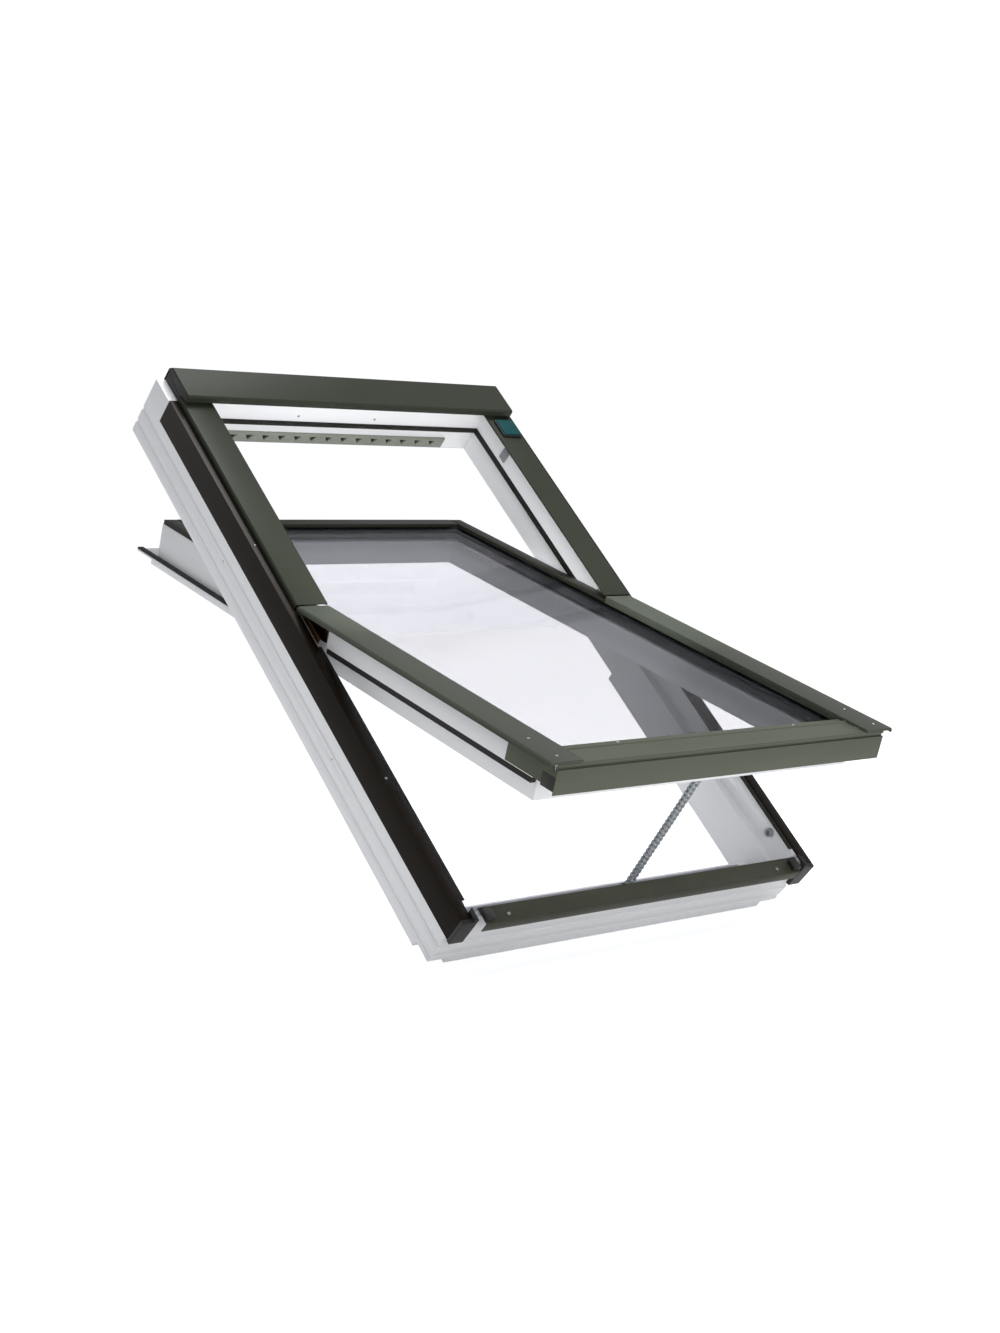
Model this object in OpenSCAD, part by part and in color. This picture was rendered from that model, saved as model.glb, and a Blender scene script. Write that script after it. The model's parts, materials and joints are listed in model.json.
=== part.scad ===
// Centre-pivot roof window with an electric chain opener, sash held open.
// Everything is drawn in the plane of the window: X to the right, Y up the slope, Z out of the roof.
// Z = 0 is the outer face of the side cladding, and X = Y = 0 is the middle of the frame.
// on_roof() then leans the window back to the pitch of the roof, so that Z is up.
// Sash pieces are drawn shut, and in_sash() swings them open about the pivot.

/* [Window] */
// Outside width of the frame
window_w = 780; // [600:10:1140]
// Outside height of the frame, along the slope
window_h = 1180; // [980:10:1600]
// Pitch of the roof
roof_pitch = 45; // [15:5:80]
// Angle that the sash stands open
open_angle = 27; // [5:1:40]

/* [Frame] */
// Depth of the frame section, from its outer edge to the room
frame_depth = 120; // [110:1:150]
// Width of the thin wall of the frame section
wall_w = 24; // [18:1:30]
// Width of the thick part of the frame section, with its stop
stop_w = 40; // [34:1:50]
// Depth from the cladding to the stop that faces out, on the lower half
low_stop_z = 46; // [42:1:52]
// Depth from the cladding to the stop that faces the room, on the upper half
high_stop_z = 59; // [52:1:62]
// Width of the sill, across its room side
sill_w = 70; // [60:1:90]
// Depth from the cladding to the top of the sill's room side
sill_z = 86; // [84:1:94]
// Thickness of the sill's upstand
upstand_w = 10; // [8:1:12]
// Side of the notch at the lower corners
notch_w = 38; // [20:1:40]
// Height of that notch
notch_h = 12; // [6:1:16]

/* [Sash] */
// Distance of the pivot above the middle of the frame
pivot_y = 26; // [0:1:60]
// Gap between the sides of the sash and the frame's stops
side_gap = 4; // [3:0.5:6]
// Gap between the foot of the sash and the sill's upstand
foot_gap = 8; // [6:0.5:14]
// Gap between the head of the sash body and the frame's head
head_gap = 44; // [34:1:60]
// Width of the sash section
sash_w = 50; // [44:1:60]
// Depth of the sash section, from the cladding datum to the room
sash_z = 74; // [72:1:78]
// How far the closing flange stands out from the side of the sash
flange_w = 12; // [10:0.5:13]
// Thickness of one pane
pane_t = 4; // [3:0.5:6]
// Gap between the panes
cavity_t = 16; // [10:1:18]

/* [Cladding] */
// Thickness of the folded sheets
sheet_t = 1.5; // [1:0.1:2]
// Depth of the side cladding, down the frame's outer side
side_clad_h = 48; // [30:1:60]
// Height of the covers above the side cladding
cover_z = 10; // [9:0.5:14]
// Inside edge of the covers, in from the outside of the frame
cover_in = 76; // [70:1:82]
// How far the covers are set in from the outside of the frame
cover_out = 13; // [10:1:17]
// Height of the hood above the side cladding
hood_z = 28; // [24:1:36]
// Width of the hood, up the slope
hood_w = 74; // [60:1:90]
// How far the sill cladding stands past the frame
drip_w = 19; // [12:1:24]
// How far the bottom cover of the sash stands past the frame
nose_w = 32; // [28:1:40]
// Height of the bottom cover's front
front_h = 40; // [30:1:42]

/* [Opener] */
// Place of the chain across the window
chain_x = 50; // [-150:5:150]
// Width of the chain
chain_w = 12; // [8:1:16]
// Depth of the chain
chain_d = 7; // [5:1:9]
// Length of one link
chain_pitch = 9.5; // [7:0.5:14]
// Half the length of the drive housing
drive_half = 325; // [200:5:330]
// Travel of the cleaning bolt
bolt_travel = 8; // [4:0.5:8]

/* [Hidden] */
$fn = 48;

// Outside of the frame
half_w = window_w / 2;
half_h = window_h / 2;
frame_top = -4;
frame_bottom = frame_top - frame_depth;
wall_x = half_w - wall_w;
stop_x = half_w - stop_w;
head_y = half_h - stop_w;
upstand_y = -half_h + upstand_w;
// The section changes hands around the pivot: stops face out below it and in above it
low_stop_end = pivot_y - 86;
high_stop_end = pivot_y + 54;

// Sash, shut
pivot_z = 0;
sash_x = stop_x - side_gap;
flange_x = sash_x + flange_w;
foot_y = upstand_y + foot_gap;
top_y = head_y - head_gap;
sash_top = -6;
flange_z = -36;
lip_z = -sash_z + 4;
lip_drop = 8;
lip_y = head_y + 8;
low_flange_end = pivot_y - 72;
high_flange_end = pivot_y + 64;
wall_t = 12;
foot_wall_t = 4;
pane_gap = 3;
pane_x = sash_x - wall_t - pane_gap;
pane_y0 = foot_y + foot_wall_t + pane_gap - 1;
pane_y1 = top_y - wall_t - pane_gap;
glass_top = -5;
unit_t = 2 * pane_t + cavity_t;
rebate_z = glass_top - unit_t;
gasket_t = 2;

// Cladding
cover_x0 = half_w - cover_in;
cover_x1 = half_w - cover_out;
split_gap = 2;
cover_gap = 6;
upper_cover_y0 = pivot_y + cover_gap;
lower_cover_y1 = pivot_y - split_gap;
hood_y1 = half_h + 4;
hood_y0 = hood_y1 - hood_w - 9;
hood_x = half_w - 18;
side_clad_y1 = half_h - 60;
side_clad_y0 = -half_h - 5;
cap_y0 = -half_h - 13;
flange_in = half_w - 19;
nose_y = -half_h - nose_w;
glass_edge_y = -half_h + 30;

sill_clad_x = stop_x;
// Slot in each lower corner of the frame, where the sash's corner piece drops in
slot_x0 = sill_clad_x + 0.5;
slot_x1 = flange_x + 6;
slot_z = -40;

// Chain: it leaves the drive at the outlet and ends at the bracket's pin
outlet_y = -half_h + 58;
outlet_z = -sill_z - 5;
pin_y = outlet_y - 4;
pin_z = -sash_z + 7;
pin_r = 2.5;
pin_reach = [pin_y - pivot_y, pin_z - pivot_z];
pin_open = [
    pivot_y + cos(open_angle) * pin_reach[0] + sin(open_angle) * pin_reach[1],
    pivot_z - sin(open_angle) * pin_reach[0] + cos(open_angle) * pin_reach[1]
];
chain_run = [pin_open[0] - outlet_y, pin_open[1] - outlet_z];
chain_lean = -atan2(chain_run[0], chain_run[1]);
chain_len = norm(chain_run);

guide_l = 10;
guide_half = chain_w / 2 + 0.8;
stub_r = 2;
stub_l = 6;

// Hinge
hinge_r = 5;
hinge_fit = 0.3;
plate_t = 3;
pin_end_gap = 0.8;

// Cleaning bolt, under the lip of the sash
bolt_r = 3.5;
bolt_y = lip_y - 14;
bolt_z = -sash_z - 6;
bolt_tip = flange_x - 0.5;
bolt_fit = 0.4;

function mirrored(points) = [for (p = points) [-p[0], p[1]]];

// Outline of a folded sheet: a line through its outer face, thickened to its left
function turn_left(d) = [-d[1], d[0]];
function unit(v) = v / norm(v);
function fold_offset(line, i, t) =
    let (
        n = len(line) - 1,
        a = i > 0 ? unit(line[i] - line[i - 1]) : unit(line[1] - line[0]),
        b = i < n ? unit(line[i + 1] - line[i]) : a,
        na = turn_left(a),
        nb = turn_left(b)
    ) line[i] + t * (na + nb) / (1 + na * nb);
function sheet(line, t) = concat(
    line,
    [for (i = [len(line) - 1 : -1 : 0]) fold_offset(line, i, t)]
);

module on_roof() rotate([roof_pitch, 0, 0]) children();
module in_sash() on_roof()
    translate([0, pivot_y, pivot_z]) rotate([-open_angle, 0, 0])
        translate([0, -pivot_y, -pivot_z]) children();
module in_chain() on_roof() translate([chain_x, outlet_y, outlet_z]) rotate([chain_lean, 0, 0]) children();

// A section of [y, z] points run across the window, and one of [x, z] points run up it
module across(x0, x1) translate([x0, 0, 0]) rotate([90, 0, 90]) linear_extrude(x1 - x0) children();
module upward(y0, y1) translate([0, y1, 0]) rotate([90, 0, 0]) linear_extrude(y1 - y0) children();
module block(x0, x1, y0, y1, z0, z1) translate([x0, y0, z0]) cube([x1 - x0, y1 - y0, z1 - z0]);
module slab(points, z0, z1) translate([0, 0, z0]) linear_extrude(z1 - z0) polygon(points);
module side(s) if (s < 0) mirror([1, 0, 0]) children(); else children();
// A round bar along X
module rod(r, x0, x1, y, z) translate([x0, y, z]) rotate([0, 90, 0]) cylinder(h = x1 - x0, r = r);

// ---- Frame -----------------------------------------------------------------

groove_d = 1.2;
groove_w = 6;
groove_z = [-71, -100];

module frame_head() color("white") on_roof() difference() {
    intersection() {
        across(-half_w, half_w) polygon([
            [half_h, frame_top], [head_y, frame_top], [head_y, -high_stop_z],
            [half_h - wall_w, -high_stop_z], [half_h - wall_w, frame_bottom], [half_h, frame_bottom]
        ]);
        slab([
            [-half_w, half_h], [half_w, half_h], [stop_x, head_y], [-stop_x, head_y]
        ], frame_bottom, frame_top);
    }
    // Pocket for the air filter behind the vent
    block(-vent_x, vent_x, half_h - wall_w - 1, half_h - wall_w + filter_d, vent_z0 + 4, vent_z1 - 4);
    for (z = groove_z)
        block(-half_w, half_w, half_h - groove_d, half_h + 1, z - groove_w / 2, z + groove_w / 2);
}

module frame_sill() color("white") on_roof() difference() {
    intersection() {
        across(-half_w, half_w) polygon([
            [-half_h, frame_top], [-half_h, frame_bottom], [-half_h + sill_w, frame_bottom],
            [-half_h + sill_w, -sill_z], [upstand_y, -sill_z], [upstand_y, frame_top]
        ]);
        slab([
            [-half_w, -half_h], [half_w, -half_h], [wall_x, -half_h + wall_w],
            [stop_x, -half_h + wall_w], [stop_x, -half_h + sill_w],
            [-stop_x, -half_h + sill_w], [-stop_x, -half_h + wall_w], [-wall_x, -half_h + wall_w]
        ], frame_bottom, frame_top);
    }
    // Channel for the chain drive
    block(-drive_half - 1, drive_half + 1, drive_y0, drive_y1, drive_z0, 0);
    for (s = [-1, 1]) side(s) {
        corner_notch();
        block(sill_clad_x + 1, wall_x, -half_h - 1, upstand_y + 1, slot_z, 0);
    }
    for (z = groove_z)
        block(-half_w, half_w, -half_h - 1, -half_h + groove_d, z - groove_w / 2, z + groove_w / 2);
}

module corner_notch()
    block(half_w - notch_w, half_w + 1, -half_h - 1, -half_h + notch_w, frame_bottom - 1, frame_bottom + notch_h);

module stile(s) color("white") on_roof() side(s) difference() {
    intersection() {
        union() {
            upward(-half_h, half_h)
                polygon([[half_w, frame_top], [wall_x, frame_top], [wall_x, frame_bottom], [half_w, frame_bottom]]);
            block(stop_x, half_w, -half_h, low_stop_end, frame_bottom, -low_stop_z);
            block(stop_x, half_w, high_stop_end, half_h, -high_stop_z, frame_top);
        }
        slab([
            [half_w, half_h], [stop_x, head_y], [stop_x, -half_h + wall_w],
            [wall_x, -half_h + wall_w], [half_w, -half_h]
        ], frame_bottom, frame_top);
    }
    corner_notch();
    for (z = groove_z)
        block(half_w - groove_d, half_w + 1, -half_h, half_h, z - groove_w / 2, z + groove_w / 2);
    // Pilot holes for the fixing brackets
    for (y = bracket_y)
        rod(pilot_r, half_w - pilot_d, half_w + 1, y, bracket_z);
    if (s > 0) rod(bolt_r + bolt_fit, wall_x - 1, wall_x + bolt_travel, socket_y, socket_z);
}
bracket_y = [-window_h * 0.185, window_h * 0.185];
bracket_z = -80;
pilot_r = 2;
pilot_d = 20;
socket_y = -half_h + 80;
socket_z = -20;

module frame_stile_left() stile(-1);
module frame_stile_right() stile(1);

// Wedge that carries the hood, on top of the frame's head
carrier_y0 = side_clad_y1 + 2;
carrier_low = 6;
carrier_high = 14;
module hood_carrier() color("#1d1c18") on_roof() across(-hood_x, hood_x) polygon([
    [half_h, frame_top], [half_h, carrier_high], [carrier_y0, carrier_low], [carrier_y0, frame_top]
]);

// Hood: folded down at the back, a sloping top, and a short front lip
hood_line = [
    [hood_y1, -14], [hood_y1, hood_z - 9], [hood_y1 - 9, hood_z],
    [hood_y0 + 3, hood_z], [hood_y0, hood_z - 3], [hood_y0, hood_z - 14]
];
module hood() color("#44463e") on_roof() across(-hood_x, hood_x) polygon(sheet(hood_line, sheet_t));

hood_end_t = 5;
module hood_end(s) color("#1d1c18") on_roof() side(s) across(hood_x - hood_end_t, hood_x) polygon([
    [hood_y1 - sheet_t, carrier_high], [hood_y1 - sheet_t, hood_z - 10], [hood_y1 - 10, hood_z - sheet_t],
    [hood_y0 + 4, hood_z - sheet_t], [hood_y0 + sheet_t, hood_z - 4], [hood_y0 + sheet_t, cover_z],
    [carrier_y0, cover_z], [carrier_y0, carrier_low], [half_h, carrier_high]
]);
module hood_end_left() hood_end(-1);
module hood_end_right() hood_end(1);

// Upper covers, fixed to the frame over the hinges and up to the hood
cover_bevel = 3;
module upper_cover(s) color("#4c4f47") on_roof() side(s)
    upward(upper_cover_y0, hood_y0 + 20) polygon(sheet([
        [cover_x1, 0], [cover_x1, cover_z - cover_bevel], [cover_x1 - cover_bevel, cover_z],
        [cover_x0, cover_z], [cover_x0, cover_z - 4]
    ], sheet_t));
module upper_cover_left() upper_cover(-1);
module upper_cover_right() upper_cover(1);

module side_cladding(s) color("#26211a") on_roof() side(s)
    upward(side_clad_y0, side_clad_y1) polygon(sheet([
        [half_w + sheet_t, -side_clad_h], [half_w + sheet_t, 0], [flange_in, 0], [flange_in, frame_top]
    ], sheet_t));
module side_cladding_left() side_cladding(-1);
module side_cladding_right() side_cladding(1);

module sill_cladding() color("#55564a") on_roof() across(-sill_clad_x, sill_clad_x) polygon(sheet([
    [upstand_y + 2, frame_top], [upstand_y + 2, 0], [-half_h - drip_w, 0], [-half_h - drip_w, -drip_w]
], sheet_t));

// Moulded corner piece: a plate over the end of the side cladding, and two humps on the corner
// with a slot between them, which the sash's corner drops through
cap_h = 7.5;
module corner_cap(s) color("#1b1a17") on_roof() side(s) {
    block(slot_x1, half_w + sheet_t, cap_y0, side_clad_y0, -side_clad_h - 2, 0);
    slab([
        [slot_x1, cap_y0], [half_w - 18, cap_y0], [half_w - 18, -half_h + 6], [slot_x1, -half_h + 12]
    ], 0, cap_h - 2);
    slab([
        [slot_x0, cap_y0 - 2], [slot_x0, upstand_y - 2], [slot_x0 - 12, upstand_y - 2],
        [slot_x0 - 18, upstand_y - 8], [slot_x0 - 18, cap_y0 - 2]
    ], 0, cap_h);
}
module corner_cap_left() corner_cap(-1);
module corner_cap_right() corner_cap(1);

// Rubber strips along the frame's outer edge, beside the sash
seal_lip = 4;
module rain_seals() color("#15160f") on_roof() for (s = [-1, 1]) side(s)
    upward(-half_h + 30, low_stop_end + 10) polygon([
        [flange_in - sheet_t, frame_top], [wall_x - seal_lip, frame_top], [wall_x - seal_lip, frame_top + 1.5],
        [wall_x + 1, -0.8], [flange_in - sheet_t, -0.8]
    ]);

// Rubber seal in the corner of the stop that faces the room: two sides and the head
frame_seal_w = 10;
frame_seal_h = 7;
seal_lip_h = 5;
seal_lip_t = 1.5;
module frame_gasket() color("#15160f") on_roof() difference() {
    union() {
        block(-stop_x - frame_seal_w, stop_x + frame_seal_w, high_stop_end + 2, head_y + frame_seal_w,
            -high_stop_z - frame_seal_h, -high_stop_z);
        block(-stop_x, stop_x, high_stop_end + 2, head_y, -high_stop_z - frame_seal_h, -high_stop_z + seal_lip_h);
    }
    block(-stop_x + seal_lip_t, stop_x - seal_lip_t, 0, head_y - seal_lip_t,
        -high_stop_z - frame_seal_h - 1, -high_stop_z + seal_lip_h + 1);
}

// Vent strip on the room side of the head
vent_x = half_w - 100;
vent_z0 = frame_bottom + 4;
vent_z1 = vent_z0 + 24;
vent_t = 4;
filter_d = 14;
slot_pitch = 36;
slot_half = 8.5;
slot_count = floor((2 * vent_x - 40) / slot_pitch);
module vent_grille() color("#6d726a") on_roof() difference() {
    block(-vent_x - 10, vent_x + 10, half_h - wall_w - vent_t, half_h - wall_w, vent_z0, vent_z1);
    for (i = [0 : slot_count])
        translate([(i - slot_count / 2) * slot_pitch, half_h - wall_w + 1, (vent_z0 + vent_z1) / 2])
            rotate([90, 0, 0]) linear_extrude(vent_t + 2) polygon([
                [-slot_half, slot_half * 0.6], [slot_half, slot_half * 0.6], [0, -slot_half * 0.8]
            ]);
}
module vent_filter() color("#2a2a28") on_roof()
    block(-vent_x + 1, vent_x - 1, half_h - wall_w, half_h - wall_w + filter_d - 1, vent_z0 + 5, vent_z1 - 5);

// Rain sensor on the right upper cover
sensor_w = 46;
sensor_l = 44;
sensor_x = half_w - 43;
sensor_y = hood_y0 - 34;
module sensor_base() color("#1c1d1b") on_roof() translate([sensor_x, sensor_y, cover_z]) linear_extrude(5)
    offset(r = 2, $fn = 24) square([sensor_w - 4, sensor_l - 4], center = true);
module rain_sensor() color("#174a4d") on_roof() translate([sensor_x, sensor_y, cover_z + 5]) linear_extrude(2.5)
    offset(r = 2, $fn = 24) square([sensor_w - 8, sensor_l - 8], center = true);

module stile_clip() color("#9a9da0") on_roof()
    block(stop_x - 3, stop_x, head_y - 110, head_y - 91, -45, -22);

// Bush for the cleaning bolt in the right stile
bush_h = 5;
module bolt_socket() color("#86888b") on_roof() difference() {
    rod(8, wall_x - bush_h, wall_x, socket_y, socket_z);
    rod(bolt_r + bolt_fit, wall_x - bush_h - 1, wall_x + 1, socket_y, socket_z);
}

// Frame half of the hinge: a plate on the stile with a shouldered pin
module hinge_frame(s) color("#4a3a28") on_roof() side(s) {
    difference() {
        block(wall_x - plate_t, wall_x, pivot_y - 66, pivot_y + 50, -42, 7);
        for (y = hinge_screw_y)
            rod(2.2, wall_x - plate_t - 1, wall_x + 1, pivot_y + y, -24);
    }
    rod(7, sash_x + plate_t + pin_end_gap, wall_x - plate_t, pivot_y, pivot_z);
    rod(hinge_r, sash_x + pin_end_gap, wall_x - plate_t, pivot_y, pivot_z);
}
hinge_screw_y = [-50, -20, 10, 38];
module hinge_frame_left() hinge_frame(-1);
module hinge_frame_right() hinge_frame(1);

// Chain drive let into the sill, and the strip that covers it
drive_y0 = -half_h + 16;
drive_y1 = -half_h + 66;
drive_z0 = frame_bottom + 6;
module chain_drive() color("#3c3d3f") on_roof() difference() {
    block(-drive_half, drive_half, drive_y0 + 1, drive_y1 - 1, drive_z0, -sill_z - 0.5);
    outlet_well(4);
    rod(stub_r + 0.3, chain_x - guide_half - stub_l - 1, chain_x + guide_half + stub_l + 1, outlet_y, outlet_z);
}
module drive_cover() color("#8b8d92") on_roof() difference() {
    translate([0, (drive_y0 + 18 + drive_y1) / 2, -sill_z - 0.5]) linear_extrude(2)
        offset(r = 6, $fn = 32) square([2 * drive_half - 12, drive_y1 - drive_y0 - 30], center = true);
    outlet_well(4);
}
// Well that the guide and the chain come out of
module outlet_well(w) block(chain_x - chain_w / 2 - w, chain_x + chain_w / 2 + w,
    outlet_y - 7, outlet_y + 7, outlet_z - 8, 0);

// ---- Screws of the frame -----------------------------------------------------

sill_screw_x = half_w - 90;
head_screw_x = 88;
module screw_head(r, h) cylinder(h = h, r = r);
module frame_screws() color("#8d8f8c") on_roof() {
    for (x = [-sill_screw_x, sill_screw_x])
        translate([x, -half_h - 7, 0]) screw_head(3, 1.6);
    for (x = [-head_screw_x, head_screw_x])
        translate([x, head_y, -42]) rotate([90, 0, 0]) screw_head(2.5, 1.2);
    for (s = [-1, 1]) side(s) for (y = [-half_h * 0.55, half_h * 0.3])
        translate([half_w - 7, y, 0]) screw_head(2.5, 1.2);
    for (s = [-1, 1]) side(s) for (y = hinge_screw_y)
        rod(2, wall_x - plate_t - 0.8, wall_x, pivot_y + y, -24);
}

// ---- Sash --------------------------------------------------------------------

// Outer wall, a rebate for the glass, and the room-side leg
module sash_section(x_out, wall) polygon([
    [x_out, sash_top], [x_out - wall, sash_top], [x_out - wall, rebate_z],
    [x_out - sash_w, rebate_z], [x_out - sash_w, -sash_z], [x_out, -sash_z]
]);

module sash_head() color("white") in_sash() {
    intersection() {
        across(-sash_x, sash_x) sash_section(top_y, wall_t);
        slab([
            [-sash_x, top_y], [sash_x, top_y], [sash_x - sash_w, top_y - sash_w], [-sash_x + sash_w, top_y - sash_w]
        ], -sash_z, sash_top);
    }
    block(-flange_x, flange_x, top_y, lip_y, -sash_z, lip_z);
}

module sash_sill() color("white") in_sash() difference() {
    intersection() {
        across(-sash_x, sash_x) mirror([1, 0, 0]) sash_section(-foot_y, foot_wall_t);
        slab([
            [-sash_x, foot_y], [sash_x, foot_y], [sash_x - sash_w, foot_y + sash_w], [-sash_x + sash_w, foot_y + sash_w]
        ], -sash_z, sash_top);
    }
    // Recess for the chain's bracket
    block(chain_x - bracket_w / 2 - 1, chain_x + bracket_w / 2 + 1, bracket_y0 - 1, foot_y + sash_w + 1,
        -sash_z - 1, bracket_top);
}

module sash_stile(s) color("white") in_sash() side(s) {
    intersection() {
        upward(foot_y, top_y) sash_section(sash_x, wall_t);
        slab([
            [sash_x, top_y], [sash_x - sash_w, top_y - sash_w], [sash_x - sash_w, foot_y + sash_w], [sash_x, foot_y]
        ], -sash_z, sash_top);
    }
    block(sash_x, flange_x, foot_y, low_flange_end, flange_z, sash_top);
    block(sash_x - 4, flange_x, high_flange_end, top_y, -sash_z - lip_drop, -sash_z);
    block(sash_x, flange_x, high_flange_end, top_y, -sash_z, lip_z);
}
module sash_stile_left() sash_stile(-1);
module sash_stile_right() sash_stile(1);

module pane(z0) block(-pane_x, pane_x, pane_y0, pane_y1, z0, z0 + pane_t);
module glass_outer() color("#e8eef0", 0.4) in_sash() pane(glass_top - pane_t);
module glass_inner() color("#e8eef0", 0.4) in_sash() pane(rebate_z);

// A flat rectangular ring between two sets of edges
module ring(x1, y0, y1, w, z0, z1) difference() {
    block(-x1, x1, y0, y1, z0, z1);
    block(-x1 + w, x1 - w, y0 + w, y1 - w, z0 - 1, z1 + 1);
}
spacer_w = 26;
module glass_spacer() color("#22252a") in_sash()
    ring(pane_x - 1, pane_y0 + 1, pane_y1 - 1, spacer_w, rebate_z + pane_t, glass_top - pane_t);

gasket_w = 14;
module glazing_gasket() color("#1d211d") in_sash()
    ring(pane_x, pane_y0, pane_y1, gasket_w, glass_top, glass_top + gasket_t);

// Trims of the upper half, under the fixed covers
trim_z = 2;
trim_leg = cover_x0 + 4;
module upper_trim_side(s) color("#3f3f35") in_sash() side(s)
    upward(lower_cover_y1 + 3, top_y - 1) polygon(sheet([
        [sash_x - 1, sash_top], [sash_x - 1, trim_z], [trim_leg, trim_z], [trim_leg, glass_top + gasket_t]
    ], sheet_t));
module upper_trim_left() upper_trim_side(-1);
module upper_trim_right() upper_trim_side(1);
module upper_trim_head() color("#3f3f35") in_sash() across(-trim_leg + 0.3, trim_leg - 0.3) polygon(sheet([
    [top_y, sash_top], [top_y, trim_z], [top_y - sash_x + trim_leg, trim_z],
    [top_y - sash_x + trim_leg, glass_top + gasket_t]
], sheet_t));

// Lower covers ride on the sash and cover the frame's edges
skirt_z = 2;
module lower_cover(s) color("#626960") in_sash() side(s) {
    upward(nose_y - 1, lower_cover_y1) polygon(sheet([
        [cover_x1, skirt_z], [cover_x1, cover_z - cover_bevel], [cover_x1 - cover_bevel, cover_z],
        [cover_x0, cover_z], [cover_x0, nose_z + 0.5]
    ], sheet_t));
    // Lip that closes the lower end, over the bottom cover
    block(cover_x0 + 0.5, cover_x1 - 0.5, nose_y - 1, nose_y + 0.5, nose_z + 0.5, cover_z - 1.5);
    // Leg that presses on the glazing gasket
    block(cover_x0, cover_x0 + sheet_t, glass_edge_y, lower_cover_y1, glass_top + gasket_t, nose_z + 1);
}
module lower_cover_left() lower_cover(-1);
module lower_cover_right() lower_cover(1);

// Bottom cover: from the glass over a step to a rounded nose, a groove and an upright front
nose_z = 5;
front_top = -4;
front_end = flange_x + sheet_t;
nose_line = [
    [nose_y, front_top - front_h + 1], [nose_y, front_top], [nose_y + 4, front_top], [nose_y + 4, -0.5],
    [nose_y + 1, 0.5], [nose_y + 1, nose_z - 1.5], [nose_y + 2.5, nose_z]
];
cover_line = concat(nose_line, [
    [glass_edge_y - 18, nose_z], [glass_edge_y - 16, nose_z + 1.5], [glass_edge_y - 13, nose_z + 1.5],
    [glass_edge_y - 11, nose_z - 1], [glass_edge_y, nose_z - 1], [glass_edge_y, glass_top + gasket_t]
]);
function reversed(line) = [for (i = [len(line) - 1 : -1 : 0]) line[i]];
module bottom_cover() color("#626960") in_sash() {
    across(-cover_x0 + 0.3, cover_x0 - 0.3) polygon(sheet(reversed(cover_line), sheet_t));
    // Its front and nose run on under the ends of the side covers
    across(-front_end, front_end) polygon(sheet(reversed(concat(nose_line, [[nose_y + 8, nose_z]])), sheet_t));
}

// Corner return: carries the front round each lower corner and back along the side of the sash,
// with a notch in its lower front corner for the plug
return_l = 62;
return_z = -34;
plug_y1 = -half_h - 2;
plug_z1 = -16;
module corner_return(s) color("#5b5d52") in_sash() side(s) across(flange_x, front_end) polygon([
    [foot_y + return_l, return_z], [foot_y + return_l, skirt_z - 1], [nose_y + 9, skirt_z - 1],
    [nose_y + 7, front_top - 2], [nose_y + sheet_t, front_top - 2], [nose_y + sheet_t, plug_z1],
    [plug_y1, plug_z1], [plug_y1, return_z]
]);
module corner_return_left() corner_return(-1);
module corner_return_right() corner_return(1);

// Black plug in the notch of each return
module corner_plug(s) color("#15160f") in_sash() side(s)
    block(sill_clad_x + 1.5, front_end, nose_y + sheet_t, plug_y1, return_z - 4, plug_z1);
module corner_plug_left() corner_plug(-1);
module corner_plug_right() corner_plug(1);

// Rubber on the closing flanges
module sash_gasket() color("#15160f") in_sash() for (s = [-1, 1]) side(s) {
    block(sash_x + 1, flange_x - 1, foot_y + 2, low_flange_end - 2, -low_stop_z + 0.5, flange_z);
    block(sash_x + 1, flange_x + 0.5, high_flange_end + 2, lip_y - 1, lip_z, -high_stop_z - frame_seal_h - 0.5);
}

module hinge_sash(s) color("#4a3a28") in_sash() side(s) difference() {
    union() {
        block(sash_x, sash_x + plate_t, pivot_y - 58, pivot_y + 46, -34, sash_top);
        rod(12.5, sash_x, sash_x + plate_t, pivot_y, pivot_z - 6);
    }
    rod(hinge_r + hinge_fit, sash_x - 1, sash_x + plate_t + 1, pivot_y, pivot_z);
    block(sash_x - 1, sash_x + plate_t + 1, pivot_y - 20, pivot_y + 20, 6.8, 20);
}
module hinge_sash_left() hinge_sash(-1);
module hinge_sash_right() hinge_sash(1);

// Bracket that the end of the chain is pinned to, let into the foot of the sash
bracket_w = chain_w + 12;
bracket_y0 = pin_y - 9;
bracket_top = -sash_z + 22;
ear_t = 4;
module chain_bracket() color("#9b9ea2") in_sash() difference() {
    block(chain_x - bracket_w / 2, chain_x + bracket_w / 2, bracket_y0, bracket_y0 + 20, -sash_z + 1, bracket_top);
    block(chain_x - chain_w / 2 - 1, chain_x + chain_w / 2 + 1, bracket_y0 - 1, bracket_y0 + 21, -sash_z, pin_z + 8);
    rod(pin_r + 0.1, chain_x - bracket_w, chain_x + bracket_w, pin_y, pin_z);
}
module bracket_pin() color("#b5b8ba") in_sash()
    rod(pin_r, chain_x - bracket_w / 2, chain_x + bracket_w / 2, pin_y, pin_z);

// Housing of the cleaning bolt, on the room side of the lip
housing_x0 = sash_x - 56;
housing_x1 = sash_x - 4;
knob_x = sash_x - 34;
module bolt_housing() color("#8f9194") in_sash() difference() {
    block(housing_x0, housing_x1, bolt_y - 8, bolt_y + 8, bolt_z - 6, -sash_z);
    rod(bolt_r + bolt_fit, housing_x0 + 4, housing_x1 + 1, bolt_y, bolt_z);
    block(knob_x - 4.5, knob_x + 4.5 + bolt_travel, bolt_y - 3, bolt_y + 3, bolt_z - 7, bolt_z);
}
module cleaning_bolt() color("#b5b8ba") in_sash() {
    rod(bolt_r, knob_x - 14, bolt_tip, bolt_y, bolt_z);
    translate([knob_x, bolt_y, bolt_z - 12]) cylinder(h = 12, r = 2.5);
    translate([knob_x, bolt_y, bolt_z - 16]) cylinder(h = 6, r = 4.5);
}

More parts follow.
